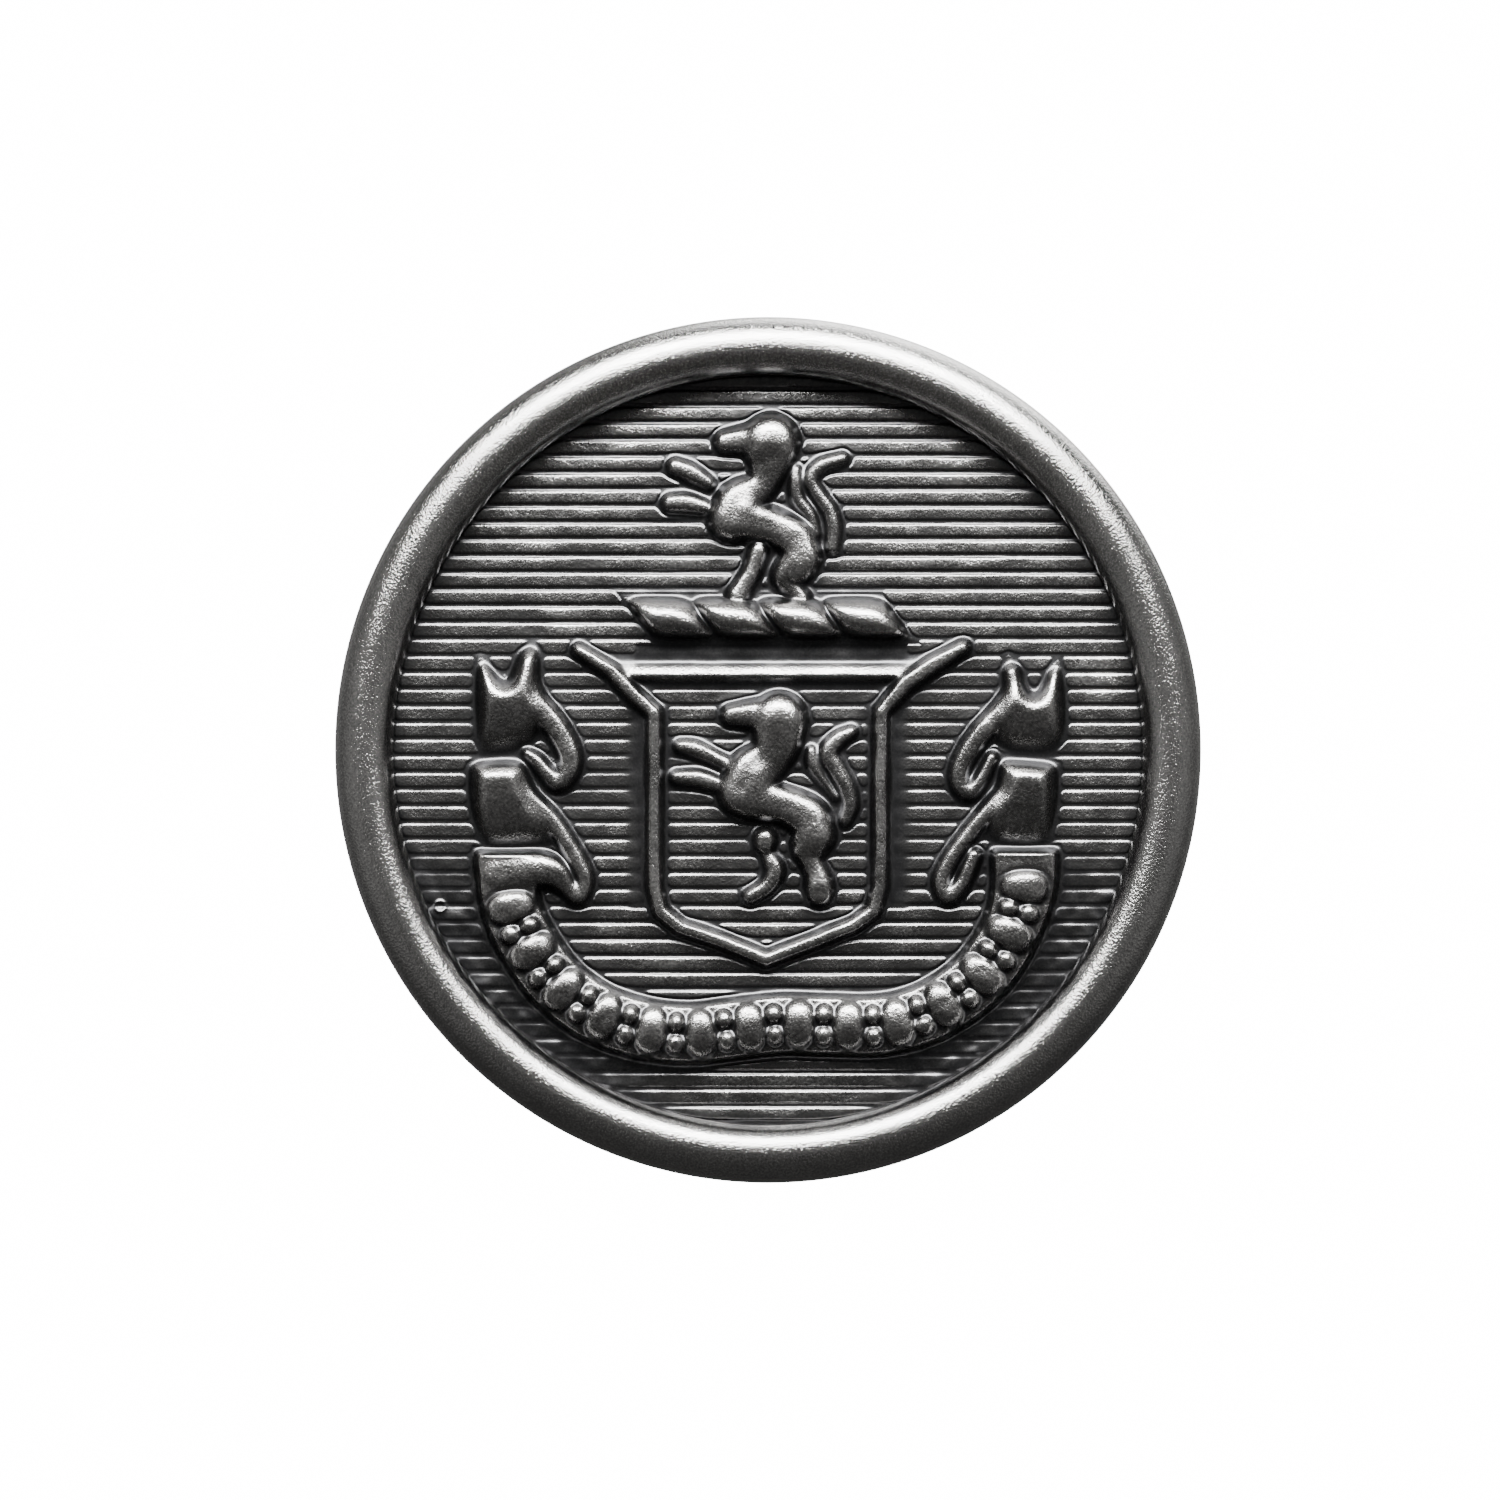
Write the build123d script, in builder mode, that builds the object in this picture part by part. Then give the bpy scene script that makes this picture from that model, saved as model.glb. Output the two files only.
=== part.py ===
from build123d import *
import math
import os

# A crested badge of the three-piece shank type. A face plate is struck from thin sheet, and a rolled
# rim ring is crimped round it, a packing disc and a pressed back. A wire shank loop stands out of the
# back through a boss, and a split pin pushed through the loop holds the badge to a cap or coat.
#
# Millimetres. The origin is the centre of the seat, the flat back that lies on the cloth. The crest
# stands upright along +Z, the face looks towards -Y, and the shank stands out towards +Y.
# A "height" is measured from the seat towards the viewer, so it lies at Y = -height.

# Rim ring, rolled from sheet
rim_outer_radius = 12.5
rim_bead_width = 1.75
rim_sheet = 0.4
rim_crimp_reach = 1.6
rim_corner_radius = 0.6

# Face plate
face_sheet = 0.45
face_edge_clearance = 0.1
field_margin = 0.25

# Back: a pressed shell with a flat seat, then a packing disc that fills the stack
back_sheet = 0.4
back_rise = 1.0
back_flange_width = 1.6
back_slope_width = 2.0
back_bend_radius = 1.2
packing_edge_clearance = 0.3
packing_foot_clearance = 0.35
packing_headroom = 0.2

# Struck design
ridge_pitch = 0.4815
ridge_width = 0.34
ridge_height = 0.1
shield_height = 0.45
ribbon_height = 0.4
motto_height = 0.3
pellet_height = 0.45
lion_height = 0.7
torse_height = 0.6
torse_pitch = 1.55
motto_pellets = 15
pellet_radius = 0.34

# Shank: two feet clinched over a washer, two legs and a round arch, in a flanged boss
wire_radius = 0.6
leg_spacing = 3.2
foot_bend_inner_radius = 0.15
foot_length = 0.85
cloth_grip = 2.25
leg_hole_clearance = 0.05
boss_length = 1.2
boss_wall = 0.4
boss_edge = 0.2
boss_undercut = 0.2
boss_flange_thickness = 0.3
boss_flange_overhang = 0.6
boss_hole_clearance = 0.05
washer_thickness = 0.3
washer_overhang = 0.1

# Split pin: half-round wire folded into an eye and two legs
pin_side_clearance = 0.2
pin_leg_gap = 0.1
pin_eye_radius = 1.1
pin_neck_radius = 1.0
pin_eye_clearance = 0.4
pin_long_leg = 11.0
pin_short_leg = 10.0

# Shank sizes that follow from the wire
leg_offset = leg_spacing / 2
boss_radius = leg_offset + wire_radius + boss_wall
boss_hole_radius = boss_radius + boss_hole_clearance
leg_hole_radius = wire_radius + leg_hole_clearance
washer_height = back_sheet + boss_flange_thickness
washer_hole_radius = wire_radius + foot_bend_inner_radius
foot_bend_radius = wire_radius + foot_bend_inner_radius
foot_height = washer_height + washer_thickness + wire_radius
foot_end = leg_offset + foot_bend_radius + foot_length
washer_radius = foot_end + washer_overhang

# The pin fills the loop's eye but for its clearance, and the loop's arch is centred on it
pin_radius = leg_offset - wire_radius - pin_side_clearance - pin_leg_gap / 2
arch_centre_height = cloth_grip + pin_radius

# Heights of the stack, each sheet on the one behind it, deep enough for the clinched feet
back_flange_height = back_rise
packing_height = back_flange_height + back_sheet
face_back_height = foot_height + wire_radius + packing_headroom
packing_thickness = face_back_height - packing_height
face_height = face_back_height + face_sheet
bead_radius = rim_bead_width / 2
bead_centre_height = face_height + rim_bead_width / 4

# Radii of the stack, all inside the rim
rim_inner_radius = rim_outer_radius - rim_bead_width
rim_bore_radius = rim_outer_radius - rim_sheet
face_radius = rim_bore_radius - face_edge_clearance
field_radius = rim_inner_radius - field_margin
shell_radius = rim_bore_radius - (rim_corner_radius - rim_sheet / 2)
packing_radius = rim_bore_radius - packing_edge_clearance
packing_hole_radius = math.hypot(foot_end, wire_radius) + packing_foot_clearance

# The crest is drawn for this field radius, and the die is cut in proportion to the field
drawn_field_radius = 10.5
crest_scale = field_radius / drawn_field_radius

os.makedirs("parts", exist_ok=True)


def drawn(points):
    """Crest points, scaled to the field."""
    return [(crest_scale * x, crest_scale * z) for x, z in points]


def stroke(points, width):
    """A round-ended line of one width through the points, for the sketch being drawn."""
    for (x0, z0), (x1, z1) in zip(drawn(points), drawn(points[1:])):
        middle = ((x0 + x1) / 2, (z0 + z1) / 2)
        turn = math.degrees(math.atan2(z1 - z0, x1 - x0))
        with Locations(Location(middle, turn)):
            SlotCenterToCenter(math.hypot(x1 - x0, z1 - z0), width * crest_scale)


def lion(foot_x, foot_z, size):
    """A lion rampant seen from its left, in round-ended strokes, standing on (foot_x, foot_z)."""
    strokes = [
        (1.5, [(0.75, 4.55), (0.55, 3.4)]),
        (1.7, [(0.05, 3.0), (0.15, 2.3)]),
        (1.3, [(0.3, 2.3), (1.7, 1.85)]),
        (1.15, [(1.8, 1.75), (1.55, 0.95)]),
        (0.6, [(1.55, 1.0), (1.85, 0.15)]),
        (0.55, [(0.9, 1.4), (0.15, 0.1)]),
        (0.45, [(-1.9, 4.05), (-0.5, 3.5)]),
        (0.55, [(-2.1, 3.0), (-0.5, 2.8)]),
        (0.4, [(2.4, 1.4), (2.75, 2.5), (2.3, 3.6), (2.95, 4.2)]),
    ]
    for width, points in strokes:
        placed = [(foot_x + size * x, foot_z + size * z) for x, z in points]
        stroke(placed, width * size)


# Outlines of the crest, drawn from the centre of the field. The right side mirrors the left.
shield_side = [(0, -6.1), (-2.5, -5.25), (-3.1, -4.85), (-3.27, -4.1), (-3.27, 1.3), (-5.2, 2.85)]
ribbon_fork = [
    (-8.3, 2.65), (-7.65, 1.95), (-6.85, 2.85), (-6.6, 1.8), (-5.6, 0.4), (-5.35, -0.3),
    (-5.6, -1.05), (-6.15, -1.15), (-6.7, -0.25), (-8.2, 0.1), (-8.4, 1.4),
]
ribbon_fold = [
    (-8.6, -0.35), (-7.0, -0.35), (-6.9, -0.9), (-6.1, -1.95), (-5.05, -3.7),
    (-5.25, -4.35), (-5.7, -4.25), (-6.4, -3.0), (-8.3, -2.4), (-8.65, -1.4),
]
motto_outer = [
    (-8.55, -3.0), (-8.3, -4.7), (-7.1, -7.1), (-4.9, -8.6), (-1.9, -9.0), (0, -8.8),
    (2.2, -8.95), (5.1, -8.35), (7.2, -6.95), (8.2, -4.8), (8.4, -3.1),
]
motto_inner = [
    (-6.7, -3.6), (-6.4, -4.6), (-5.2, -6.35), (-3.3, -7.3), (-1.5, -7.3), (0, -7.05),
    (2.2, -7.1), (4.1, -6.8), (5.5, -5.85), (6.3, -4.5), (6.4, -3.2),
]
motto_middle = [
    (-7.5, -3.9), (-6.3, -6.5), (-3.6, -8.1), (0, -7.95), (3.9, -7.85), (6.5, -6.2), (7.35, -3.9),
]

# Face plate: thin sheet, struck with a relief that stands on its field
field = Plane.XZ.offset(face_height)
ridge_count = int(2 * field_radius / ridge_pitch)
with BuildPart() as face_plate:
    with BuildSketch(Plane.XZ.offset(face_back_height)):
        Circle(face_radius)
    extrude(amount=face_sheet)

    # Level ridges over the whole field
    with BuildSketch(field):
        with GridLocations(0, ridge_pitch, 1, ridge_count):
            Rectangle(2 * field_radius, ridge_width)
        Circle(field_radius, mode=Mode.INTERSECT)
    extrude(amount=ridge_height)

    # Motto ribbon: a deep U below the shield. It carries plain pellets and no lettering.
    with BuildSketch(field):
        with BuildLine():
            Spline(drawn(motto_outer))
            Spline(drawn(motto_inner))
            Line(drawn(motto_outer[:1] + motto_inner[:1]))
            Line(drawn(motto_outer[-1:] + motto_inner[-1:]))
        make_face()
    extrude(amount=motto_height)
    with BuildLine(mode=Mode.PRIVATE):
        middle_line = Spline(drawn(motto_middle))
    with BuildSketch(field):
        for step in range(motto_pellets):
            place = middle_line.position_at(step / (motto_pellets - 1))
            with Locations((place.X, place.Y)):
                Circle(pellet_radius * crest_scale)
    extrude(amount=pellet_height)

    # Ribbons: two folded pieces each side, with forked tops and hooked tails
    with BuildSketch(field):
        for outline in (ribbon_fork, ribbon_fold):
            with BuildLine():
                Polyline(drawn(outline), close=True)
            make_face()
        mirror(about=Plane.YZ)
    extrude(amount=ribbon_height)

    # Shield: a bar frame with a pointed foot, and two ears swept up from its shoulders
    with BuildSketch(field):
        stroke([(-4.15, 2.3), (4.15, 2.3)], 0.5)
        stroke(shield_side, 0.48)
        mirror(about=Plane.YZ)
    extrude(amount=shield_height)

    # Torse: the twisted roll of slanting lobes under the crest
    with BuildSketch(field):
        for lobe in range(-2, 3):
            lobe_x = lobe * torse_pitch
            stroke([(lobe_x - 0.45, 3.85), (lobe_x + 0.45, 3.6)], 1.0)
    extrude(amount=torse_height)

    # Two lions, one on the torse and one on the shield
    with BuildSketch(field):
        lion(-0.9, 4.35, 1.0)
        lion(-0.65, -4.2, 1.1)
    extrude(amount=lion_height)

# Rim ring: sheet that stands on the face's flange, rolls over the bead and is crimped behind the back
half_sheet = rim_sheet / 2
crimp_height = back_flange_height - half_sheet
with BuildPart() as rim_ring:
    with BuildSketch(Plane.XY):
        with BuildLine():
            lip = Line(
                (rim_inner_radius + half_sheet, -face_height),
                (rim_inner_radius + half_sheet, -bead_centre_height),
            )
            ThreePointArc(
                lip @ 1,
                (rim_outer_radius - bead_radius, -bead_centre_height - bead_radius + half_sheet),
                (rim_outer_radius - half_sheet, -bead_centre_height),
            )
            FilletPolyline(
                (rim_outer_radius - half_sheet, -bead_centre_height),
                (rim_outer_radius - half_sheet, -crimp_height),
                (rim_outer_radius - half_sheet - rim_crimp_reach, -crimp_height),
                radius=rim_corner_radius,
            )
        trace(line_width=rim_sheet)
    revolve(axis=Axis.Y)

# Packing disc: board that fills the stack, open in the middle for the clinched feet
with BuildPart() as packing_disc:
    with BuildSketch(Plane.XZ.offset(packing_height)):
        Circle(packing_radius)
        Circle(packing_hole_radius, mode=Mode.SUBTRACT)
    extrude(amount=packing_thickness)

# Back shell: the flat seat, a short slope and the flange under the crimp, with a hole for the boss
slope_start = shell_radius - back_flange_width - back_slope_width
with BuildPart() as back_shell:
    with BuildSketch(Plane.XY):
        with BuildLine():
            FilletPolyline(
                (0, -back_sheet / 2),
                (slope_start, -back_sheet / 2),
                (slope_start + back_slope_width, -back_flange_height - back_sheet / 2),
                (shell_radius, -back_flange_height - back_sheet / 2),
                radius=back_bend_radius,
            )
        trace(line_width=back_sheet)
    revolve(axis=Axis.Y)
    with BuildSketch(Plane.XZ):
        Circle(boss_hole_radius)
    extrude(amount=back_sheet, mode=Mode.SUBTRACT)

# Boss: a collar for the loop's legs that fills the hole in the cloth. Its undercut neck sits in the
# shell's hole, and its flange bears on the shell's inside.
with BuildPart() as shank_boss:
    with BuildSketch(Plane.XZ):
        Circle(boss_radius)
    extrude(amount=-boss_length)
    outer_edge = shank_boss.edges().filter_by(GeomType.CIRCLE).sort_by(Axis.Y)[-1]
    fillet(outer_edge, radius=boss_edge)
    with BuildSketch(Plane.XZ):
        Circle(boss_radius - boss_undercut)
    extrude(amount=back_sheet)
    with BuildSketch(Plane.XZ.offset(back_sheet)):
        Circle(boss_radius + boss_flange_overhang)
    extrude(amount=boss_flange_thickness)
    with BuildSketch(Plane.XZ.offset(washer_height)):
        with GridLocations(0, leg_spacing, 1, 2):
            Circle(leg_hole_radius)
    extrude(amount=-(washer_height + boss_length), mode=Mode.SUBTRACT)

# Clinch washer, on the boss's flange under the feet
with BuildPart() as clinch_washer:
    with BuildSketch(Plane.XZ.offset(washer_height)):
        Circle(washer_radius)
        with GridLocations(0, leg_spacing, 1, 2):
            Circle(washer_hole_radius, mode=Mode.SUBTRACT)
    extrude(amount=washer_thickness)

# Shank loop: round wire, foot to foot, in the upright plane through the shank's axis
with BuildPart() as shank_loop:
    with BuildLine(Plane.YZ) as shank_line:
        upper = FilletPolyline(
            (-foot_height, foot_end),
            (-foot_height, leg_offset),
            (arch_centre_height, leg_offset),
            radius=foot_bend_radius,
        )
        ThreePointArc(
            (arch_centre_height, leg_offset),
            (arch_centre_height + leg_offset, 0),
            (arch_centre_height, -leg_offset),
        )
        FilletPolyline(
            (arch_centre_height, -leg_offset),
            (-foot_height, -leg_offset),
            (-foot_height, -foot_end),
            radius=foot_bend_radius,
        )
    with BuildSketch(Plane(origin=upper @ 0, z_dir=upper % 0)):
        Circle(wire_radius)
    sweep(path=shank_line.line)

# Split pin: the flats of its two half-round legs face each other, and its eye is too wide for the loop
leg_line = pin_leg_gap / 2
neck_x = -wire_radius - pin_eye_clearance
neck_rise = leg_line + pin_neck_radius
eye_reach = pin_eye_radius + pin_neck_radius
eye_x = neck_x - math.sqrt(eye_reach**2 - neck_rise**2)
eye_angle = math.atan2(neck_rise, neck_x - eye_x)
neck_angle = (math.pi / 2 + eye_angle) / 2


def neck(side):
    """The neck's arc from a leg to the eye: its start, middle and end."""
    centre_x, centre_z = neck_x, side * neck_rise
    start = (centre_x, side * leg_line)
    middle = (
        centre_x - pin_neck_radius * math.cos(neck_angle),
        centre_z - side * pin_neck_radius * math.sin(neck_angle),
    )
    end = (
        eye_x + pin_eye_radius * math.cos(eye_angle),
        side * pin_eye_radius * math.sin(eye_angle),
    )
    return start, middle, end


with BuildPart() as split_pin:
    with BuildLine(Plane.XZ.offset(-arch_centre_height)) as pin_line:
        long_leg = Line((pin_long_leg, leg_line), neck(1)[0])
        ThreePointArc(*neck(1))
        ThreePointArc(neck(1)[2], (eye_x - pin_eye_radius, 0), neck(-1)[2])
        ThreePointArc(*reversed(neck(-1)))
        Line(neck(-1)[0], (pin_short_leg, -leg_line))
    with BuildSketch(Plane(origin=long_leg @ 0, x_dir=(0, -1, 0), z_dir=long_leg % 0)):
        with BuildLine():
            CenterArc((0, 0), pin_radius, 0, 180)
            Line((-pin_radius, 0), (pin_radius, 0))
        make_face()
    sweep(path=pin_line.line)

nodes = {
    "face_plate": face_plate,
    "rim_ring": rim_ring,
    "packing_disc": packing_disc,
    "back_shell": back_shell,
    "shank_boss": shank_boss,
    "clinch_washer": clinch_washer,
    "shank_loop": shank_loop,
    "split_pin": split_pin,
}
for node_name, node in nodes.items():
    node.part.label = node_name
    export_step(node.part, f"parts/{node_name}.step")
    print(node_name, round(node.part.volume, 2), node.part.bounding_box().size)
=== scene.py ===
import math

import bmesh
import bpy
import numpy as np
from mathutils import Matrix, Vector


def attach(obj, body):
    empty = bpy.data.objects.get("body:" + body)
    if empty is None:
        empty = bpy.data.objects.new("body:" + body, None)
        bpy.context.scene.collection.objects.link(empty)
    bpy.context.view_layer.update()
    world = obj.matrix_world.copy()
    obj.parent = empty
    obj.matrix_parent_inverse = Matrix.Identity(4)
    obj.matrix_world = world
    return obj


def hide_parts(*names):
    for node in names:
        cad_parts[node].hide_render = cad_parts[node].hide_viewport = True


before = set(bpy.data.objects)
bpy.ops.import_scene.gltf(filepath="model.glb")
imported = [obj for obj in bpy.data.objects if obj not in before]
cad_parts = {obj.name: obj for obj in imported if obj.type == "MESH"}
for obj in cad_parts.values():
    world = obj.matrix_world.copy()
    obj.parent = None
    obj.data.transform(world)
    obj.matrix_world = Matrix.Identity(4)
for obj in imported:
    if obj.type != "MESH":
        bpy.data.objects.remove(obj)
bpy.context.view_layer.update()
mm = 0.001  # sizes are written in mm and multiplied by this when they go into a mesh


# Scene-linear colour of an sRGB hex code
def linearColour(code):
    parts = [int(code[i : i + 2], 16) / 255 for i in (0, 2, 4)]
    return [c / 12.92 if c <= 0.04045 else ((c + 0.055) / 1.055) ** 2.4 for c in parts] + [1.0]


# A shader node with its settings; an input takes a value or another node's socket
def addNode(tree, kind, inputs=None, **settings):
    node = tree.nodes.new(kind)
    for name, value in settings.items():
        setattr(node, name, value)
    for name, value in (inputs or {}).items():
        if isinstance(value, bpy.types.NodeSocket):
            tree.links.new(value, node.inputs[name])
        else:
            node.inputs[name].default_value = value
    return node


# Puts a finished mesh in the scene as a piece of the badge, in place of the CAD nodes it stands for
def place(name, mesh, body, slotName, material, *nodes):
    for face in mesh.polygons:
        face.use_smooth = True
    piece = bpy.data.objects.new(name, mesh)
    bpy.context.scene.collection.objects.link(piece)
    mesh.materials.append(material)
    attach(piece, body)
    if nodes:
        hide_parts(*nodes)
    return piece


# An empty material and its node tree
def newMaterial(name):
    material = bpy.data.materials.new(name)
    material.use_nodes = True
    material.node_tree.nodes.clear()
    return material, material.node_tree


# The struck face is one height field over the field's plane, on a grid finer up the face than across
# it because the ridges lie level. Heights are measured from the seat towards the viewer, along -Y
relief = {
    "cellAcross": 0.044,
    "cellUp": 0.0256,
    "reach": 11.0,
    "plane": 2.85,  # height of the field's plane over the seat
    "seen": 10.95,  # radius that shows inside the rim
    "footBlur": 0.06,  # how soft the foot of a struck form is
}
reach = relief["reach"]
cellsAcross = 2 * int(reach / relief["cellAcross"])
cellsUp = 2 * int(reach / relief["cellUp"])
axisX = np.linspace(-reach, reach, cellsAcross + 1)
axisZ = np.linspace(-reach, reach, cellsUp + 1)
stepX, stepZ = axisX[1] - axisX[0], axisZ[1] - axisZ[0]
gridX, gridZ = np.meshgrid(axisX, axisZ)
radius = np.hypot(gridX, gridZ)


# Goes from 0 at low to 1 at high, with soft ends
def smooth(low, high, value):
    t = np.clip((value - low) / (high - low), 0, 1)
    return t * t * (3 - 2 * t)


# Gaussian blur of a field, with the size in mm
def blur(field, size):
    for along, step in ((0, stepZ), (1, stepX)):
        reachCells = max(1, int(3 * size / step))
        offsets = np.arange(-reachCells, reachCells + 1)
        weights = np.exp(-0.5 * (offsets * step / size) ** 2)
        weights /= weights.sum()
        margins = [(reachCells, reachCells) if a == along else (0, 0) for a in (0, 1)]
        padded = np.pad(field, margins, "edge")
        total = np.zeros_like(field)
        for k, weight in enumerate(weights):
            shifted = padded[k : k + field.shape[0]] if along == 0 else padded[:, k : k + field.shape[1]]
            total += weight * shifted
        field = total
    return field


# A smooth curve through the points, which may carry a half width after their place
def curve(points, closed=False, steps=6):
    p = np.array(points, float)
    p = np.vstack([p[-1:], p, p[:2]]) if closed else np.vstack([2 * p[0] - p[1], p, 2 * p[-1] - p[-2]])
    t = np.linspace(0, 1, steps, endpoint=False)[:, None]
    parts = []
    for a, b, c, d in zip(p[:-3], p[1:-2], p[2:-1], p[3:]):
        parts.append(b + 0.5 * t * (c - a + t * (2 * a - 5 * b + 4 * c - d + t * (3 * (b - c) + d - a))))
    return np.vstack(parts + ([] if closed else [p[-2:-1]]))


# The part of the grid that lies round the points
def windowAround(points, margin):
    low, high = points[:, :2].min(0) - margin, points[:, :2].max(0) + margin
    cols = slice(*np.searchsorted(axisX, [low[0], high[0]]))
    rows = slice(*np.searchsorted(axisZ, [low[1], high[1]]))
    return rows, cols


# Distance to a line, the line's half width at the nearest place, and the length run along it
def alongLine(line, x, z):
    best = np.full(x.shape, 99.0)
    width = np.ones(x.shape)
    length = np.zeros(x.shape)
    ratio = np.full(x.shape, 99.0)
    run = 0.0
    for a, b in zip(line[:-1], line[1:]):
        d = b - a
        span = math.hypot(d[0], d[1])
        if span < 1e-9:
            continue
        t = np.clip(((x - a[0]) * d[0] + (z - a[1]) * d[1]) / span**2, 0, 1)
        away = np.hypot(x - a[0] - t * d[0], z - a[1] - t * d[1])
        here = a[2] + t * d[2]
        nearer = away / here < ratio
        ratio = np.where(nearer, away / here, ratio)
        best = np.where(nearer, away, best)
        width = np.where(nearer, here, width)
        length = np.where(nearer, run + t * span, length)
        run += span
    return best, width, length


# The larger of two heights with the join rounded; where one is nothing it adds nothing
def softMax(a, b, soft):
    return soft * np.log(np.exp(a / soft) + np.exp(b / soft) - 1)


# The same for distances, which may be negative
def softNear(a, b, soft):
    return np.maximum(a, b) + soft * np.log1p(np.exp(-np.abs(a - b) / soft))


# A relief built up from strokes, bars and panels; inside says how far within an outline a point lies
class Relief:
    def __init__(self):
        self.height = np.zeros_like(gridX)
        self.inside = np.full(gridX.shape, -3.0)

    def add(self, part, height, inside, soft=0.05):
        self.height[part] = softMax(self.height[part], np.maximum(height, 0), soft)
        self.inside[part] = softNear(self.inside[part], inside, 0.04)

    # A rounded roll along a curve, as thick as it is wide
    def stroke(self, points, lift=1.0, soft=0.06, spread=1.1):
        line = curve(points)
        line[:, 2] *= spread
        part = windowAround(line, 1.9)
        away, width, _ = alongLine(line, gridX[part], gridZ[part])
        ratio = np.clip(away / width, 0, 1)
        crown = lift * 0.72 * width**0.75
        self.add(part, crown * (1 - ratio**3.2) ** 0.65, width - away, soft)

    # A straight-sided bar; top is a height or a function of the place
    def bar(self, points, top, edge):
        line = curve(points, steps=1)
        part = windowAround(line, 1.6)
        x, z = gridX[part], gridZ[part]
        away, width, _ = alongLine(line, x, z)
        inside = width - away
        rise = np.clip(inside / edge, 0, 1)
        crown = top(x, z) if callable(top) else top
        self.add(part, crown * (1 - (1 - rise) ** 2), inside, 0.03)

    # A closed outline with a pillowed edge
    def panel(self, points, top, edge, soft=0.05):
        line = curve(points, closed=True)
        part = windowAround(line, 1.6)
        x, z = gridX[part], gridZ[part]
        away = np.full(x.shape, 99.0)
        crossed = np.zeros(x.shape, bool)
        for a, b in zip(line, np.roll(line, -1, axis=0)):
            d = b - a
            t = np.clip(((x - a[0]) * d[0] + (z - a[1]) * d[1]) / max(d @ d, 1e-12), 0, 1)
            away = np.minimum(away, np.hypot(x - a[0] - t * d[0], z - a[1] - t * d[1]))
            if a[1] != b[1]:
                crossed ^= ((a[1] > z) != (b[1] > z)) & (x < a[0] + (z - a[1]) * d[0] / d[1])
        inside = np.where(crossed, away, -away)
        rise = np.clip(blur(inside, 0.13) / edge, 0, 1)
        self.add(part, top(x, z) * (1 - (1 - rise) ** 2), inside, soft)


struck = Relief()

# Ribbons at the sides, each with a forked end above, a fold below it and straps that hang from both.
# Outlines are (x, z), straps are (x, z, half width)
leftRibbon = {
    "fork": [
        (-8.38, 2.48), (-8.2, 2.6), (-7.58, 1.94), (-7.14, 2.83), (-6.64, 2.89), (-6.61, 1.71),
        (-6.29, 1.18), (-6.94, 0.18), (-8.23, 0.0), (-8.41, 1.12),
    ],
    "forkStrap": [
        (-6.92, 2.45, 0.26), (-6.92, 1.95, 0.3), (-6.74, 1.4, 0.36), (-6.17, 0.71, 0.36),
        (-5.76, 0.0, 0.34), (-5.73, -0.53, 0.31), (-6.05, -0.94, 0.27), (-6.41, -0.64, 0.24),
        (-6.7, -0.29, 0.21), (-6.97, -0.09, 0.15),
    ],
    "fold": [
        (-8.61, -0.76), (-8.47, -0.38), (-7.08, -0.34), (-6.94, -0.88), (-6.7, -1.47),
        (-6.17, -2.0), (-6.17, -2.59), (-6.99, -2.77), (-8.06, -2.77), (-8.53, -1.82),
    ],
    "foldStrap": [
        (-7.2, -0.75, 0.26), (-7.02, -1.2, 0.28), (-6.75, -1.55, 0.29), (-6.29, -1.98, 0.28),
        (-5.82, -2.65, 0.27), (-5.4, -3.41, 0.28), (-5.29, -3.83, 0.25), (-5.49, -4.24, 0.25),
        (-5.8, -3.95, 0.28), (-6.15, -3.58, 0.42), (-6.7, -3.46, 0.52), (-7.75, -3.6, 0.56),
    ],
    "foldLow": -2.7,
}
rightRibbon = {
    "fork": [
        (6.87, 2.6), (7.05, 2.65), (7.67, 1.58), (8.17, 2.36), (8.44, 2.42), (8.46, 0.24),
        (6.99, 0.06), (6.34, 0.77), (6.82, 1.83),
    ],
    "forkStrap": [
        (7.05, 2.2, 0.24), (7.08, 1.7, 0.28), (6.76, 1.12, 0.34), (6.05, 0.36, 0.32),
        (5.58, -0.41, 0.29), (5.52, -0.94, 0.27), (5.81, -1.23, 0.24), (6.17, -0.82, 0.21),
        (6.46, -0.23, 0.18),
    ],
    "fold": [
        (6.64, -0.41), (6.76, -0.29), (8.23, -0.41), (8.35, -0.64), (8.29, -1.82), (7.93, -2.71),
        (6.64, -2.65), (6.17, -1.82), (6.7, -1.06),
    ],
    "foldStrap": [
        (6.95, -0.75, 0.26), (6.85, -1.2, 0.27), (6.46, -1.65, 0.27), (5.81, -2.41, 0.25),
        (5.22, -3.24, 0.25), (4.99, -3.83, 0.25), (5.22, -4.24, 0.24), (5.6, -3.85, 0.24),
        (5.78, -3.45, 0.24), (5.95, -3.05, 0.22),
    ],
    "foldLow": -2.65,
}
ribbonForm = {"foot": 0.12, "rise": 0.47, "forkReach": 2.2, "foldReach": 2.3, "edge": 0.5}


# Height of a ribbon's panel, which sinks towards its lower end
def sinking(low, reachUp):
    return lambda x, z: ribbonForm["foot"] + ribbonForm["rise"] * (1 - np.clip(1 - (z - low) / reachUp, 0, 1) ** 2)


strapForm = {"lift": 1.05, "spread": 1.08}
for ribbon in (leftRibbon, rightRibbon):
    struck.panel(ribbon["fork"], sinking(0, ribbonForm["forkReach"]), ribbonForm["edge"])
    struck.stroke(ribbon["forkStrap"], **strapForm)
    struck.panel(ribbon["fold"], sinking(ribbon["foldLow"], ribbonForm["foldReach"]), ribbonForm["edge"])
    struck.stroke(ribbon["foldStrap"], **strapForm)

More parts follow.
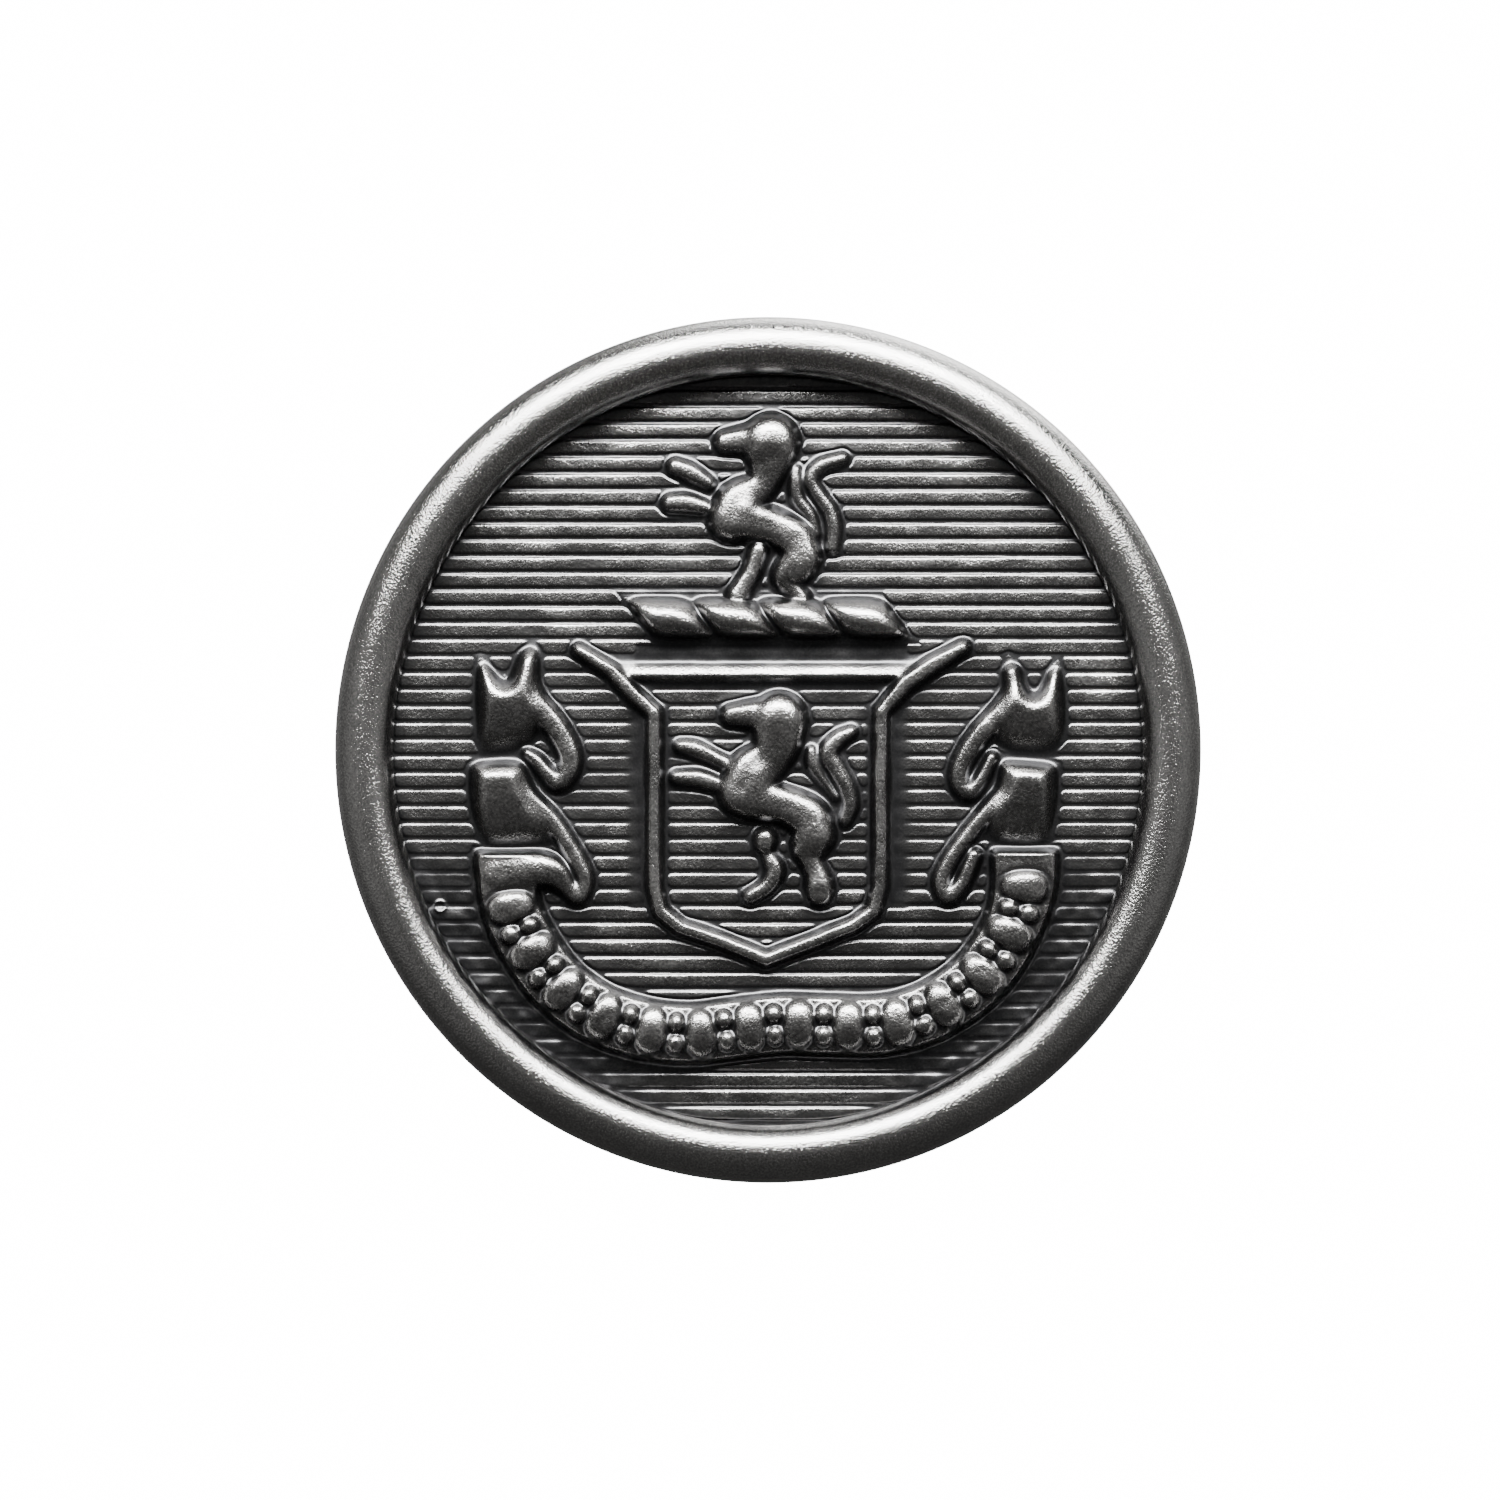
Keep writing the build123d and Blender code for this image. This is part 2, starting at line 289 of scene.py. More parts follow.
# Motto ribbon: a convex band with a raised edge line, and beads and pellets on it in place of words
motto = {
    "middle": [
        (-7.6, -3.2, 0.9), (-7.4, -4.6, 0.9), (-6.85, -5.75, 0.9), (-6.05, -6.8, 0.9), (-4.95, -7.6, 0.9),
        (-3.65, -8.05, 0.9), (-2.3, -8.2, 0.9), (-0.9, -8.05, 0.9), (0.4, -7.92, 0.9), (1.7, -7.95, 0.9),
        (3.3, -7.95, 0.9), (4.6, -7.6, 0.9), (5.8, -6.85, 0.9), (6.6, -5.95, 0.9), (7.15, -4.9, 0.9),
        (7.4, -3.9, 0.97), (7.42, -3.15, 1.0),
    ],
    "leftEnd": -2.9,  # the band is cut level at its ends
    "rightEnd": -2.85,
    "highest": -2.45,
    "base": 0.14,
    "rise": 0.34,
    "edgeLine": 0.07,
    "beads": 14,
    "plainStart": 1.35,
    "plainEnd": 0.8,
    "bead": (0.46, 0.72),  # half sizes along and across the band
    "pellet": (0.27, 0.31, 0.32),  # half sizes, and how far from the middle each of a pair lies
    "beadRise": 0.22,
    "crease": 0.03,
}
mottoLine = curve(motto["middle"])
part = windowAround(mottoLine, 1.8)
x, z = gridX[part], gridZ[part]
away, width, length = alongLine(mottoLine, x, z)
total = float(np.hypot(*np.diff(mottoLine[:, :2], axis=0).T).sum())
endCut = np.where(x < 0, motto["leftEnd"], motto["rightEnd"])
pastEnd = (length <= 0) | (length >= total)
inside = np.minimum(width - away, np.where(pastEnd, endCut, motto["highest"]) - z)
ratio = np.clip(away / width, 0, 1)
band = (motto["base"] + motto["rise"] * np.sqrt(1 - ratio**2)) * smooth(0, 0.12, inside)
band += motto["edgeLine"] * np.exp(-(((inside - 0.1) / 0.07) ** 2)) * (inside > 0)

# Beads stand at whole phases along the band, with a pair of pellets between two of them
beadCount = motto["beads"]
pitch = (total - motto["plainStart"] - motto["plainEnd"]) / (beadCount - 1)
phase = (length - motto["plainStart"]) / pitch
fromBead = (phase - np.round(phase)) * pitch
fromPair = (phase - 0.5 - np.round(phase - 0.5)) * pitch
beadAlong, beadAcross = motto["bead"]
pelletAlong, pelletAcross, pelletPlace = motto["pellet"]
beads = (np.abs(fromBead) / beadAlong) ** 2.4 + (away / beadAcross) ** 2.4
pellets = (fromPair / pelletAlong) ** 2 + ((away - pelletPlace) / pelletAcross) ** 2
nothing = 9  # well outside any ornament
pellets = np.where((phase > 0) & (phase < beadCount - 1), pellets, nothing)
shape = np.where((phase > -0.5) & (phase < beadCount - 0.5), np.minimum(beads, pellets), nothing)
ornament = np.clip(1 - shape, 0, 1) ** 0.5
crease = np.exp(-(((np.sqrt(shape) - 1.06) / 0.14) ** 2)) * (inside > 0.08)
band = np.where(inside > 0, band + motto["beadRise"] * ornament - motto["crease"] * crease, 0)
creases = np.zeros_like(gridX)
creases[part] = crease
struck.add(part, band, inside, 0.05)

# Shield: a flat-topped bar round it with an ear out of each corner, as (x, z, half width)
shield = {
    "leftEar": [(-5.46, 2.88, 0.2), (-4.54, 2.3, 0.24), (-3.92, 1.64, 0.25), (-3.28, 1.06, 0.24)],
    "rightEar": [(5.63, 2.96, 0.22), (4.74, 2.45, 0.28), (3.97, 1.91, 0.28), (3.27, 1.1, 0.24)],
    "leftSide": [
        (-3.28, 1.06, 0.24), (-3.28, -3.97, 0.24), (-3.11, -4.66, 0.24), (-2.53, -5.13, 0.24),
        (-1.37, -5.51, 0.24), (-0.05, -6.05, 0.24),
    ],
    "rightSide": [
        (3.27, 1.1, 0.24), (3.24, -3.97, 0.24), (3.04, -4.66, 0.24), (2.5, -5.05, 0.24),
        (1.26, -5.55, 0.24), (-0.05, -6.05, 0.24),
    ],
}
shieldForm = {"top": 0.34, "edge": 0.14, "wider": 0.02}
for bar in shield.values():
    struck.bar([(x, z, r + shieldForm["wider"]) for x, z, r in bar], shieldForm["top"], shieldForm["edge"])

# The bar across its top has a long slope above its crest line and a short one below
topBar = {
    "line": [(-4.4, 2.27, 0.25), (-3.0, 2.23, 0.28), (0, 2.23, 0.28), (3.2, 2.23, 0.28), (4.4, 2.31, 0.26)],
    "crestLine": 2.14,
    "crest": 0.2,
    "slopeAbove": 0.48,
    "slopeBelow": 0.9,
    "edge": 0.05,
}


def topBarHeight(x, z):
    slope = np.where(z > topBar["crestLine"], topBar["slopeAbove"], topBar["slopeBelow"])
    return topBar["crest"] - slope * np.abs(z - topBar["crestLine"])


struck.bar(topBar["line"], topBarHeight, topBar["edge"])

# Torse: a twisted roll of four lobes under the crest
torse = {"middle": 3.79, "half": 0.62, "lean": 0.72, "lobe": 1.87, "crown": 0.72}
part = windowAround(np.array([(-3.6, 3.6), (3.9, 4.0)]), 1.0)
x, z = gridX[part], gridZ[part]
across = np.clip((z - torse["middle"]) / torse["half"], -1, 1)
leaning = x + torse["lean"] * (z - torse["middle"])
lobe = (leaning + 2 * torse["lobe"]) / torse["lobe"]
lobe = np.abs(2 * (lobe - np.floor(lobe)) - 1)
inside = np.minimum(torse["half"] - np.abs(z - torse["middle"]), 2 * torse["lobe"] - np.abs(leaning))
narrow = 0.78 + 0.22 * (1 - lobe**3)
puff = np.clip(1 - np.abs(across / narrow) ** 2.3, 0, 1) ** 0.75
roll = torse["crown"] * puff * (0.2 + 0.8 * np.clip(1 - lobe**2.8, 0, 1) ** 0.6)
struck.add(part, np.where(inside > 0, roll, 0) * smooth(0, 0.1, inside), inside, 0.05)

# Lions: one on the torse and one in the shield, as strokes of (x, z, half width)
crestLion = {
    "tailLeft": [(0.82, 8.1, 0.14), (0.79, 7.82, 0.2), (0.86, 7.25, 0.2), (1.2, 6.8, 0.19), (1.4, 6.25, 0.14)],
    "tailRight": [
        (1.85, 5.84, 0.2), (1.9, 6.38, 0.22), (1.81, 6.86, 0.22), (1.47, 7.36, 0.21),
        (1.24, 7.82, 0.21), (1.52, 8.2, 0.22), (2.15, 8.42, 0.18),
    ],
    "upperArm": [(-2.67, 8.18, 0.25), (-2.2, 7.99, 0.27), (-1.72, 7.7, 0.2)],
    "lowerArm": [(-2.81, 7.13, 0.26), (-2.36, 7.13, 0.28), (-1.85, 7.02, 0.22)],
    "farLeg": [(-0.28, 5.75, 0.27), (-0.47, 5.15, 0.27), (-0.68, 4.8, 0.28), (-0.87, 4.45, 0.33)],
    "nearLeg": [(1.02, 5.6, 0.5), (0.82, 5.3, 0.52), (0.5, 5.0, 0.38), (0.67, 4.7, 0.27), (0.96, 4.38, 0.28)],
    "body": [(-0.82, 6.7, 0.6), (0.1, 6.48, 0.5), (0.78, 6.1, 0.53), (1.0, 5.62, 0.5)],
    "chest": [(-0.5, 7.5, 0.4), (-0.85, 7.12, 0.62), (-1.03, 6.7, 0.66)],
    "mane": [(0.08, 8.88, 0.78), (0.04, 8.25, 0.54), (-0.18, 7.65, 0.42), (-0.55, 7.2, 0.4)],
    "head": [(-0.1, 8.95, 0.55), (-0.6, 8.95, 0.42), (-1.22, 8.9, 0.32)],
}
shieldLion = {
    "tailLeft": [(1.25, -0.02, 0.15), (1.3, -0.41, 0.2), (1.58, -0.87, 0.14), (1.96, -1.38, 0.1)],
    "tailRight": [
        (2.23, -2.05, 0.18), (2.38, -1.61, 0.22), (2.29, -1.12, 0.24), (2.01, -0.6, 0.26),
        (1.74, -0.1, 0.27), (2.02, 0.3, 0.24), (2.4, 0.52, 0.18),
    ],
    "upperArm": [(-2.52, 0.1, 0.2), (-2.1, 0.02, 0.24), (-1.5, -0.25, 0.21), (-1.1, -0.45, 0.22)],
    "lowerArm": [(-2.62, -0.8, 0.22), (-2.0, -0.83, 0.26), (-1.4, -1.02, 0.23), (-1.0, -1.1, 0.22)],
    "kneeBall": [(-0.09, -2.58, 0.32), (-0.1, -2.7, 0.3)],
    "farLeg": [
        (-0.05, -2.95, 0.16), (0.1, -3.25, 0.24), (0.2, -3.5, 0.27), (-0.02, -3.93, 0.25), (-0.52, -4.24, 0.22),
    ],
    "nearLeg": [
        (1.35, -2.45, 0.56), (1.2, -2.75, 0.5), (1.2, -3.1, 0.33), (1.4, -3.55, 0.33), (1.48, -3.9, 0.4),
        (1.5, -4.15, 0.36),
    ],
    "body": [(-0.55, -1.38, 0.6), (0.45, -1.58, 0.52), (1.15, -1.95, 0.58), (1.35, -2.4, 0.56)],
    "chest": [(-0.15, -0.2, 0.42), (-0.48, -0.65, 0.66), (-0.75, -1.2, 0.66)],
    "mane": [(0.33, 0.86, 0.76), (0.27, 0.2, 0.62), (0.0, -0.45, 0.48), (-0.35, -0.9, 0.5)],
    "head": [(0.2, 0.95, 0.55), (-0.35, 1.02, 0.42), (-1.05, 1.0, 0.3)],
}
thinLift = 0.82  # tails and arms lie lower than the body
for lion in (crestLion, shieldLion):
    for name, stroke in lion.items():
        struck.stroke(stroke, lift=thinLift if "tail" in name or "Arm" in name else 1.0)
print("relief drawn")

# Field: level ridges with rounded ends that stop short of the relief, on a slightly domed sheet
field = {
    "ridgePitch": 0.4815,
    "ridgeTop": 7.509,  # upper edge of one ridge
    "halfRidge": 0.2,
    "ridgeHeight": 0.034,
    "ridgeCrown": 0.014,
    "flank": 0.055,
    "cornerRound": 0.14,
    "gap": 0.1,  # between the relief and the ridges' ends
    "edge": 10.86,
    "dome": 0.22,
    "skirt": 0.055,  # the sheet's rise round the relief
    "waver": 0.0035,
}
moat = -struck.inside
onField = moat > 0
halfRidge, corner = field["halfRidge"], field["cornerRound"]
depth = np.mod(field["ridgeTop"] - gridZ, field["ridgePitch"])
stripe = np.abs(depth - halfRidge) - halfRidge
stripe = np.minimum(stripe, np.abs(depth - halfRidge - field["ridgePitch"]) - halfRidge)
limit = np.maximum(field["gap"] - moat, radius - field["edge"])
plain = np.maximum(np.abs(gridZ - 2.75) - 0.27, np.abs(gridX - 0.1) - 3.9)  # plain strip under the torse
limit = np.maximum(limit, -plain)
pill = np.hypot(np.maximum(stripe + corner, 0), np.maximum(limit + corner, 0)) - corner
pill += np.minimum(np.maximum(stripe, limit) + corner, 0)
ridge = field["ridgeHeight"] * smooth(0.0, field["flank"], -pill)
crown = np.clip(1 - ((depth - halfRidge) / halfRidge) ** 2, 0, 1)
ridgeCrown = field["ridgeCrown"] * crown * smooth(0.0, 0.05, -pill)

# The ridges are lower across the middle, fade beside the shield and are clogged low at both sides
cornerDirt = smooth(8.3, 9.3, radius) * smooth(-2.5, -4.5, gridZ) * smooth(2.5, 4.5, np.abs(gridX))
struckDepth = 0.55 + 0.45 * smooth(2.5, 4.5, gridZ) + 0.3 * smooth(-3, -4.5, gridZ) - 0.45 * cornerDirt
beside = np.abs(np.abs(gridX) - 3.48)
beside = np.where((gridZ < 1.4) & (gridZ > -4.6), beside, 9)
ridge *= smooth(0.35, 0.75, beside)

random = np.random.default_rng(7)
waver = blur(random.normal(size=gridX.shape), 0.12)
waver *= field["waver"] / waver.std()
waver *= 1 + 2 * cornerDirt
blotch = blur(random.normal(size=gridX.shape), 0.32)
blotch /= blotch.std()
struckDepth = struckDepth * (1 + 0.14 * blotch)

# One small ring-shaped nick at the left
nick = {"x": -9.47, "z": -4.52, "ring": 0.15, "lip": 0.03, "pit": 0.02}
fromNick = np.hypot(gridX - nick["x"], gridZ - nick["z"])
waver += nick["lip"] * np.exp(-(((fromNick - nick["ring"]) / 0.05) ** 2))
waver -= nick["pit"] * np.exp(-((fromNick / 0.09) ** 2))

dome = field["dome"] * (1 - (radius / 10.5) ** 2)
upturn = 0.05 * smooth(10.2, 10.9, radius)
quiet = smooth(0.12, -0.1, plain)
skirt = field["skirt"] * np.exp(-np.clip(moat, 0, None) / 0.25) * (1 - quiet)
height = blur((ridge + ridgeCrown * struckDepth) * struckDepth, 0.6 * stepZ)
height += blur(struck.height + skirt, relief["footBlur"]) + dome + upturn + waver

# Patina, wear and dirt follow the height: low and enclosed places stay black with oxide, and what stands proud is
# rubbed.
# Next to the relief and along the rim the field is also darkened as painted shade, and the plain strip under the torse
# is a little darker.
# Each number is how much tone, from 0 black to 1 bright, a place gains or loses
wearAndShade = {
    "base": 0.47, "proud": 0.36, "enclosed": 0.35, "steep": 0.22, "crease": 0.26, "shadeNearRelief": 0.16,
    "outline": 0.3, "groove": 0.22, "plainStrip": 0.04, "corners": 0.3, "rim": 0.3,
}
near = height - blur(height, 0.12)
wide = height - blur(height, 0.5)
steep = blur(np.hypot(*np.gradient(struck.height, stepZ, stepX)), 0.04)
tone = wearAndShade["base"] + wearAndShade["proud"] * np.clip(wide, -0.2, 0.35)
tone -= wearAndShade["enclosed"] * np.clip(-near / 0.06, 0, 1)
tone -= wearAndShade["steep"] * smooth(0.8, 2.2, steep) + wearAndShade["crease"] * creases
# painted shade: the field is darkened close to the relief, where the relief would shade it
tone -= wearAndShade["shadeNearRelief"] * np.exp(-np.clip(moat, 0, None) / 0.3) * onField
tone -= wearAndShade["outline"] * np.exp(-(((moat - 0.04) / 0.13) ** 2))
tone -= wearAndShade["groove"] * (1 - ridge / field["ridgeHeight"]) * onField
tone -= wearAndShade["plainStrip"] * quiet
tone -= wearAndShade["corners"] * cornerDirt * onField
tone += np.where(onField, 0.045, 0.02) * blotch
# painted shade: the field is darkened along the rim's inner edge, where the rim would shade it
tone -= wearAndShade["rim"] * smooth(10.35, 10.85, radius)
tone = np.clip(tone, 0, 1)

top = relief["plane"] + height
slopeZ, slopeX = np.gradient(top, stepZ, stepX)
normals = np.stack([-slopeX, -np.ones_like(slopeX), -slopeZ], axis=-1)
normals /= np.linalg.norm(normals, axis=-1, keepdims=True)
print("field done")


# Plated or bare metal: colour and roughness go from blackened to rubbed, over a fine grain in mm.
# tone is the name of an attribute or one level for the whole piece
def metal(name, colours, rough, grain, grainDepth, speckle, tone=0.55):
    material, tree = newMaterial(name)
    spot = addNode(tree, "ShaderNodeTexCoord").outputs["Object"]
    fine = addNode(
        tree, "ShaderNodeTexNoise",
        {"Vector": spot, "Scale": 1 / (grain * mm), "Detail": 2.0, "Roughness": 0.6},
    ).outputs["Fac"]
    cloud = addNode(
        tree, "ShaderNodeTexNoise",
        {"Vector": spot, "Scale": 1 / (1.4 * mm), "Detail": 4.0, "Roughness": 0.6},
    ).outputs["Fac"]
    level = addNode(tree, "ShaderNodeAttribute", attribute_name=tone).outputs["Fac"] if isinstance(tone, str) else tone
    spread = addNode(tree, "ShaderNodeMath", {0: cloud, 1: 0.25, 2: -0.125}, operation="MULTIPLY_ADD")
    speck = addNode(tree, "ShaderNodeMath", {0: fine, 1: speckle, 2: -0.5 * speckle}, operation="MULTIPLY_ADD")
    worn = addNode(tree, "ShaderNodeMath", {0: level, 1: spread.outputs[0]}, operation="ADD")
    worn = addNode(tree, "ShaderNodeMath", {0: worn.outputs[0], 1: speck.outputs[0]}, operation="ADD", use_clamp=True)
    colour = addNode(tree, "ShaderNodeValToRGB", {"Fac": worn.outputs[0]})
    dark, mid, bright = [linearColour(code) for code in colours]
    colour.color_ramp.elements[0].color = dark
    colour.color_ramp.elements[1].color = bright
    colour.color_ramp.elements.new(0.45).color = mid
    roughness = addNode(
        tree, "ShaderNodeMapRange", {"Value": worn.outputs[0], "To Min": rough[0], "To Max": rough[1]}
    )
    grit = addNode(tree, "ShaderNodeMath", {0: fine, 1: level}, operation="MULTIPLY")
    bump = addNode(
        tree, "ShaderNodeBump", {"Height": grit.outputs[0], "Distance": grainDepth * mm, "Strength": 1.0}
    )
    surface = addNode(
        tree, "ShaderNodeBsdfPrincipled",
        {"Base Color": colour.outputs["Color"], "Metallic": 1.0, "Roughness": roughness.outputs["Result"],
         "Normal": bump.outputs["Normal"]},
    )
    addNode(tree, "ShaderNodeOutputMaterial", {"Surface": surface.outputs[0]})
    return material


# Antique silver plate on struck brass: black in the recesses, rubbed bright on the relief, and sandy
# from the die; its tone also carries painted shade beside the relief and along the rim. The real grain is finer than
# 0.05 mm and is drawn at 0.08 mm so that it shows
struckSilver = metal("struckSilver", ("484849", "6c6b6a", "f0eeea"), (0.3, 0.24), 0.08, 0.034, 0.5, "tone")
# The same plate on the rolled rim, rubbed to an even satin that spreads its one long highlight;
# its tone carries patina and painted shade on the bead's inner side.
# The real grit is finer than 0.03 mm and is drawn at 0.065 mm so that it shows
rolledSilver = metal("rolledSilver", ("484849", "9a9997", "e0deda"), (0.24, 0.2), 0.065, 0.041, 0.7, "tone")
# Unpolished plate on the pressed back, boss and loop: an even dull grey, with sheet grain of 0.1 mm
pressedSilver = metal("pressedSilver", ("3a3a3b", "8b8a88", "bdbbb6"), (0.5, 0.38), 0.1, 0.008, 0.2)
# Drawn brass of the washer and the pin's wire: yellow, slightly tarnished in spots of 0.12 mm
drawnBrass = metal("drawnBrass", ("5a4320", "b08a4c", "d9b26a"), (0.4, 0.28), 0.12, 0.004, 0.15)

# Kraft board pressed from pale brown fibres: matt, and clouded by clumps of fibre 0.3 mm across
kraftBoard, tree = newMaterial("kraftBoard")
spot = addNode(tree, "ShaderNodeTexCoord").outputs["Object"]
fibres = addNode(tree, "ShaderNodeTexNoise", {"Vector": spot, "Scale": 1 / (0.3 * mm), "Detail": 5.0}).outputs["Fac"]
tint = addNode(tree, "ShaderNodeValToRGB", {"Fac": fibres})
tint.color_ramp.elements[0].color = linearColour("8f7350")
tint.color_ramp.elements[1].color = linearColour("c9ae86")
fuzz = addNode(tree, "ShaderNodeBump", {"Height": fibres, "Distance": 0.02 * mm})
surface = addNode(
    tree, "ShaderNodeBsdfPrincipled",
    {"Base Color": tint.outputs["Color"], "Roughness": 0.9, "Normal": fuzz.outputs["Normal"]},
)
addNode(tree, "ShaderNodeOutputMaterial", {"Surface": surface.outputs[0]})
print("materials done")

# The face in four bands of one surface, each closed underneath and short enough to stay light
sheetTop = 2.7  # the bands close on the backing sheet
faceBands = {
    "faceCrest": (3.9, 11.0), "faceShoulders": (-1.0, 3.9), "faceShieldFoot": (-5.2, -1.0), "faceMotto": (-11.0, -5.2),
}
for bandName, (low, high) in faceBands.items():
    rows = np.searchsorted(axisZ, [low - 1e-6, high - 1e-6])
    bm = bmesh.new()
    toneLayer = bm.verts.layers.float.new("tone")
    bmesh.ops.create_grid(bm, x_segments=cellsAcross, y_segments=int(rows[1] - rows[0]), size=1.0)
    # create_grid counts its vertices row by row from the lower left corner
    block = slice(rows[0], rows[1] + 1)
    spots = np.stack([gridX[block], -top[block], gridZ[block]], axis=-1).reshape(-1, 3) * mm
    for vert, spot, value in zip(bm.verts, spots.tolist(), tone[block].ravel().tolist()):
        vert.co = spot
        vert[toneLayer] = value
    outside = [v for v in bm.verts if math.hypot(v.co.x, v.co.z) > relief["seen"] * mm]
    bmesh.ops.delete(bm, geom=outside, context="VERTS")
    walls = bmesh.ops.extrude_edge_only(bm, edges=[e for e in bm.edges if e.is_boundary])
    lower = [g for g in walls["geom"] if isinstance(g, bmesh.types.BMVert)]
    for vert in lower:
        vert.co.y = -sheetTop * mm
    foot = set(lower)
    loop = [g for g in walls["geom"] if isinstance(g, bmesh.types.BMEdge) and set(g.verts) <= foot]
    bmesh.ops.holes_fill(bm, edges=loop, sides=0)
    bmesh.ops.recalc_face_normals(bm, faces=bm.faces)
    mesh = bpy.data.meshes.new(bandName)
    bm.to_mesh(mesh)
    bm.free()
    place(bandName, mesh, "badge", "struck_face", struckSilver, "face_plate")
    # Shade every band from the whole field's slopes, so that the bands meet without a seam
    coords = np.empty(len(mesh.vertices) * 3)
    mesh.vertices.foreach_get("co", coords)
    coords = coords.reshape(-1, 3) / mm
    col = np.clip(np.rint((coords[:, 0] - axisX[0]) / stepX).astype(int), 0, cellsAcross)
    row = np.clip(np.rint((coords[:, 2] - axisZ[0]) / stepZ).astype(int), 0, cellsUp)
    mesh.normals_split_custom_set_from_vertices(normals[row, col])
print("face built")


# A ring turned about the shank's axis from a closed outline of (radius, height)
def spun(name, profile, segments, slotName, material, toneAt, *nodes):
    bm = bmesh.new()
    verts = [bm.verts.new((r * mm, -h * mm, 0)) for r, h in profile]
    edges = [bm.edges.new((a, b)) for a, b in zip(verts, verts[1:] + verts[:1])]
    bmesh.ops.spin(
        bm, geom=verts + edges, axis=(0, 1, 0), cent=(0, 0, 0), angle=2 * math.pi, steps=segments, use_merge=True
    )
    bmesh.ops.remove_doubles(bm, verts=bm.verts, dist=1e-7)
    bmesh.ops.recalc_face_normals(bm, faces=bm.faces)
    toneLayer = bm.verts.layers.float.new("tone")
    for vert in bm.verts:
        vert[toneLayer] = float(toneAt(math.hypot(vert.co.x, vert.co.z) / mm, -vert.co.y / mm))
    mesh = bpy.data.meshes.new(name)
    bm.to_mesh(mesh)
    bm.free()
    return place(name, mesh, "badge", slotName, material, *nodes)


def arc(cx, cy, r, start, end, count):
    return [
        (cx + r * math.cos(math.radians(a)), cy + r * math.sin(math.radians(a)))
        for a in np.linspace(start, end, count)
    ]


# Backing sheet under the relief, out to the edge that the rim holds
sheet = {"radius": 12.0, "bottom": 2.4, "edgeRound": 0.03, "middle": 0.0001, "tone": 0.1}
spun(
    "faceSheet",
    [
        (sheet["middle"], sheet["bottom"]),
        (sheet["radius"] - sheet["edgeRound"], sheet["bottom"]),
        (sheet["radius"], sheet["bottom"] + sheet["edgeRound"]),
        (sheet["radius"], sheetTop - sheet["edgeRound"]),
        (sheet["radius"] - sheet["edgeRound"], sheetTop),
        (sheet["middle"], sheetTop),
    ],
    128, "struck_face", struckSilver, lambda r, h: sheet["tone"],
)

# Rolled rim: a hollow bead over the face's edge, a straight wall and the crimp round the back
rim = {
    "radius": 12.5,
    "bead": 0.875,
    "beadHeight": 3.2875,
    "sheet": 0.4,
    "innerSqueeze": 0.92,  # the bead's inner side is steeper than its outer side
    "crimpMiddle": (11.9, 1.2),
    "crimpBend": 0.6,
    "crimpEnd": [(10.75, 0.6), (10.68, 0.68), (10.68, 0.92), (10.75, 1.0)],
    "rolledTo": 205,  # degrees of the bead, from its outer side
    "brightTone": 0.42,
    "darkTone": 0.08,
    "wallTone": 0.35,
}
beadMiddle = rim["radius"] - rim["bead"]
rimOutline = (
    arc(beadMiddle, rim["beadHeight"], rim["bead"], rim["rolledTo"], 0, 44)
    + arc(*rim["crimpMiddle"], rim["crimpBend"], 0, -90, 10)
    + rim["crimpEnd"]
    + arc(*rim["crimpMiddle"], rim["crimpBend"] - rim["sheet"], -90, 0, 6)
    + arc(beadMiddle, rim["beadHeight"], rim["bead"] - rim["sheet"], 0, rim["rolledTo"], 24)
)
rimOutline = [
    (beadMiddle + rim["innerSqueeze"] * (r - beadMiddle) if r < beadMiddle and h > 1.5 else r, h)
    for r, h in rimOutline
]


# Tone along the rim: black in the crevice where it meets the face, partly patina and partly painted shade that dims
# the highlight on the bead's inner side; brighter on the rest of the bead
def rimPatinaAndShade(r, h):
    return rim["darkTone"] + rim["brightTone"] * smooth(10.95, 11.25, r) if h > 2.6 else rim["wallTone"]


spun("rolledRim", rimOutline, 256, "rolled_rim", rolledSilver, rimPatinaAndShade, "rim_ring")

# The pieces behind the face keep their CAD shapes
backMaterials = {
    "packing_disc": kraftBoard,
    "back_shell": pressedSilver,
    "shank_boss": pressedSilver,
    "clinch_washer": drawnBrass,
    "shank_loop": pressedSilver,
    "split_pin": drawnBrass,
}
for nodeName, material in backMaterials.items():
    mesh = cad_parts[nodeName].data
    mesh.materials.clear()
    mesh.materials.append(material)
print("pieces done")

# Camera square to the face
view = {"distance": 0.45, "sideways": -0.52 * mm, "frameWidth": 0.0433, "faceDepth": 0.0033}
camera = bpy.data.objects.new("camera", bpy.data.cameras.new("camera"))
bpy.context.scene.collection.objects.link(camera)
camera.location = (view["sideways"], -view["distance"], 0)
camera.rotation_euler = (math.pi / 2, 0, 0)
camera.data.sensor_width = 36
camera.data.lens = camera.data.sensor_width * (view["distance"] - view["faceDepth"]) / view["frameWidth"]
camera.data.clip_start = 0.01
bpy.context.scene.camera = camera

